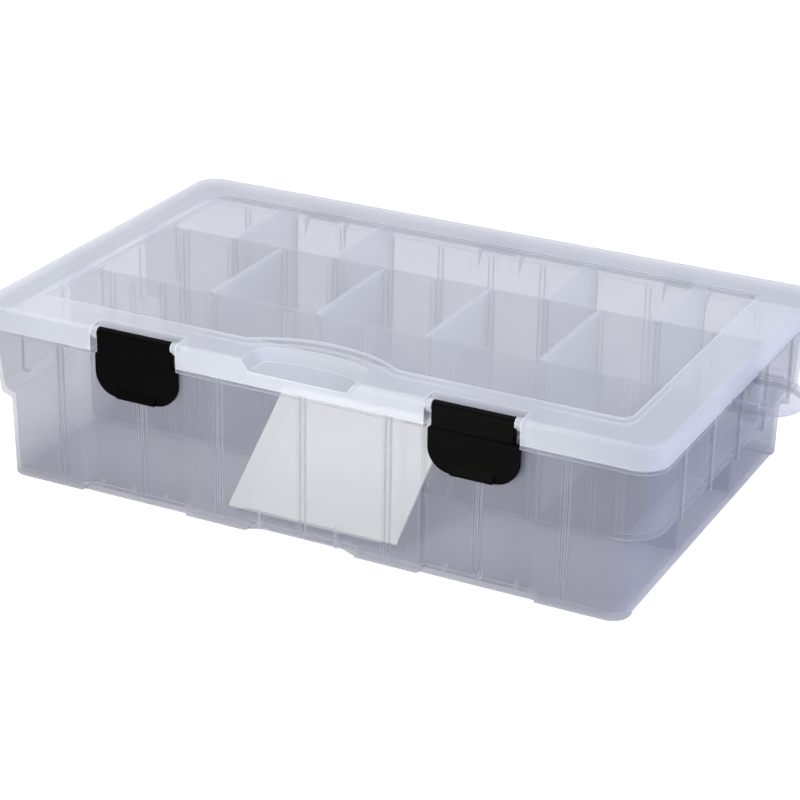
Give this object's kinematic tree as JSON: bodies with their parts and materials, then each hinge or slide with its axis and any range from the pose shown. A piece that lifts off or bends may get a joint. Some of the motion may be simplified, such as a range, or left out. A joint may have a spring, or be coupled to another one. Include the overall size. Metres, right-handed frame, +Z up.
{
  "type": "lure box",
  "caption": "Shallow rectangular tackle box of translucent plastic with a hinged clear-window lid, front snap latches and lift-out dividers.",
  "frame": {"origin": "middle of the whole footprint, at the height of the feet's undersides", "axes": "+X along the box's length towards the right end seen from the front, +Y from the latches towards the lid hinges, +Z up"},
  "size_m": [0.3844, 0.2282, 0.0895],
  "materials": {
    "tub_plastic": "natural translucent polypropylene, moulded, satin outside",
    "lid_plastic": "translucent polypropylene, frosted border and clearer window",
    "latch_plastic": "solid black moulded acetal, smooth",
    "divider_plastic": "translucent polypropylene plate, satin"
  },
  "bodies": {
    "tub": {"tub": "tub_plastic", "catch_panel_left": "tub_plastic", "catch_panel_right": "tub_plastic", "middle_divider_1": "divider_plastic", "middle_divider_2": "divider_plastic", "middle_divider_3": "divider_plastic", "middle_divider_4": "divider_plastic", "rear_divider_1": "divider_plastic", "rear_divider_2": "divider_plastic", "rear_divider_3": "divider_plastic", "rear_divider_4": "divider_plastic", "spare_divider_1": "divider_plastic", "spare_divider_2": "divider_plastic"},
    "lid": {"lid": "lid_plastic", "scoop_cup": "lid_plastic"},
    "latch_left": {"latch_left": "latch_plastic"},
    "latch_right": {"latch_right": "latch_plastic"}
  },
  "joints": [
    {"name": "lid_hinge", "type": "hinge", "parent": "tub", "child": "lid", "pos_m": [-0.01425, 0.1105, 0.077], "axis": [-1, 0, 0], "range_deg": [0, 110]},
    {"name": "latch_left_hinge", "type": "hinge", "parent": "lid", "child": "latch_left", "pos_m": [-0.10275, -0.1111, 0.0864], "axis": [-1, 0, 0], "range_deg": [0, 100]},
    {"name": "latch_right_hinge", "type": "hinge", "parent": "lid", "child": "latch_right", "pos_m": [0.07425, -0.1111, 0.0864], "axis": [-1, 0, 0], "range_deg": [0, 100]}
  ]
}
